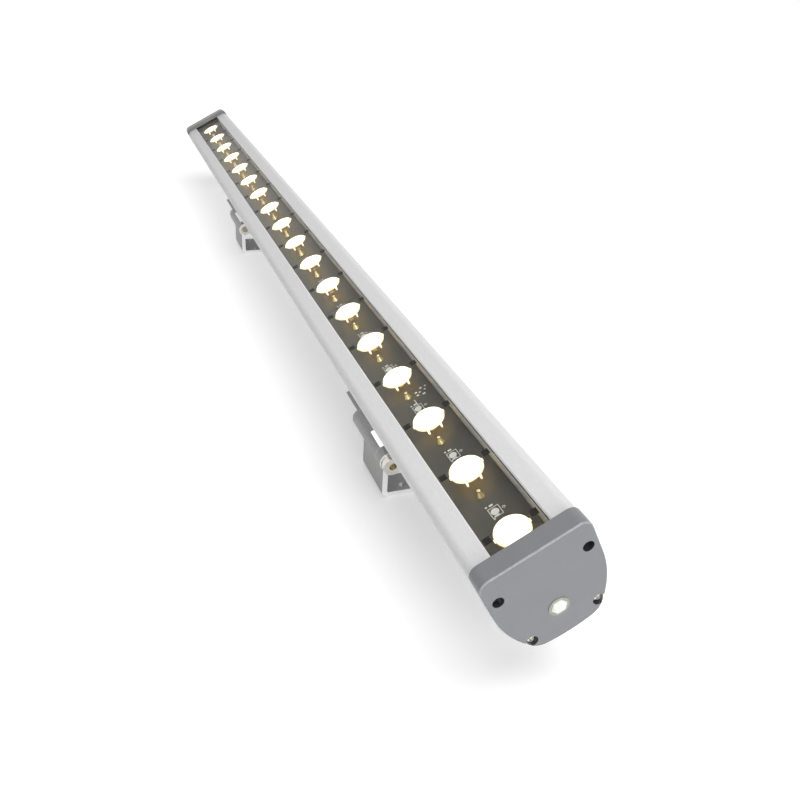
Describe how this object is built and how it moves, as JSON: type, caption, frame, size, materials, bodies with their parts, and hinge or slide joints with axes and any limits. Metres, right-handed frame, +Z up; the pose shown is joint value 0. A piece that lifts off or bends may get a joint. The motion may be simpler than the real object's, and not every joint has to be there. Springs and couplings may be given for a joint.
{
  "type": "outdoor wall washer light",
  "caption": "Long leaning bar light with lenses in a row behind a glass strip, cast end caps, and hinged feet that slide along a track in its flank.",
  "frame": {"origin": "middle of the footprint, on the floor under the feet", "axes": "+Y along the lamp from the cable end to the far end, +Z up, -X the side the light leans to"},
  "size_m": [0.0868, 1.2012, 0.1257],
  "materials": {
    "anodised_aluminium": "satin anodised extrusion with a fine grain",
    "plain_aluminium": "mill finish extrusion with bright saw cuts",
    "grey_casting": "smooth mid grey powder coat",
    "clear_glass": "clear toughened glass",
    "black_rubber": "matt black silicone",
    "grey_board": "semi gloss dark grey solder mask",
    "lit_lens": "clear acrylic lens glowing warm white",
    "light_source": "lit phosphor",
    "brass": "bright brass",
    "nickel_steel": "nickel plated steel",
    "clear_plastic": "milky clear plastic",
    "white_plastic": "white plastic",
    "circuit_board": "green circuit board",
    "winding_tape": "yellow winding tape",
    "dark_sleeve": "black sleeve",
    "copper_winding": "enamelled copper winding",
    "terminal_plastic": "green terminal block",
    "wire_insulation": "wire insulation"
  },
  "bodies": {
    "lamp": {"housing_extrusion": "anodised_aluminium", "cover_glass": "clear_glass", "left_glass_seal": "black_rubber", "right_glass_seal": "black_rubber", "glass_pads": "black_rubber", "near_led_board": "grey_board", "middle_led_board": "grey_board", "far_led_board": "grey_board", "near_lenses": "lit_lens", "middle_lenses": "lit_lens", "far_lenses": "lit_lens", "led_packages": "light_source", "board_screws": "brass", "near_end_cap": "grey_casting", "far_end_cap": "grey_casting", "near_cap_gasket": "black_rubber", "far_cap_gasket": "black_rubber", "near_cap_screws": "nickel_steel", "far_cap_screws": "nickel_steel", "near_inlet_bush": "clear_plastic", "far_inlet_bush": "clear_plastic", "near_inlet_plug": "white_plastic", "far_inlet_plug": "white_plastic", "driver_tray": "plain_aluminium", "driver_spacers": "white_plastic", "driver_board": "circuit_board", "driver_transformer": "winding_tape", "input_capacitor": "dark_sleeve", "output_capacitors": "dark_sleeve", "input_choke": "copper_winding", "switching_transistor": "dark_sleeve", "input_terminal": "terminal_plastic", "output_terminal": "terminal_plastic", "mains_leads": "wire_insulation", "output_leads": "wire_insulation"},
    "near_clamp_body": {"near_clamp": "plain_aluminium", "near_clamp_screw": "nickel_steel", "near_hinge_bolt": "nickel_steel", "near_flat_washer": "nickel_steel", "near_spring_washer": "nickel_steel", "near_hinge_nut": "nickel_steel"},
    "near_foot_body": {"near_foot": "plain_aluminium"},
    "far_clamp_body": {"far_clamp": "plain_aluminium", "far_clamp_screw": "nickel_steel"},
    "far_foot_body": {"far_foot": "plain_aluminium", "far_hinge_bolt": "nickel_steel", "far_flat_washer": "nickel_steel", "far_spring_washer": "nickel_steel", "far_hinge_nut": "nickel_steel"}
  },
  "joints": [
    {"name": "near_bracket_slide", "type": "slide", "parent": "lamp", "child": "near_clamp_body", "axis": [0, 1, 0], "range_m": [-0.14, 0.25]},
    {"name": "near_foot_tilt", "type": "hinge", "parent": "near_clamp_body", "child": "near_foot_body", "pos_m": [-0.0178, -0.37865, 0.0353], "axis": [0, 1, 0], "range_deg": [-37.5, 92.5]},
    {"name": "far_bracket_slide", "type": "slide", "parent": "lamp", "child": "far_clamp_body", "axis": [0, 1, 0], "range_m": [-0.25, 0.24]},
    {"name": "far_foot_tilt", "type": "hinge", "parent": "far_clamp_body", "child": "far_foot_body", "pos_m": [-0.0178, 0.22145, 0.0353], "axis": [0, 1, 0], "range_deg": [-37.5, 92.5]}
  ]
}
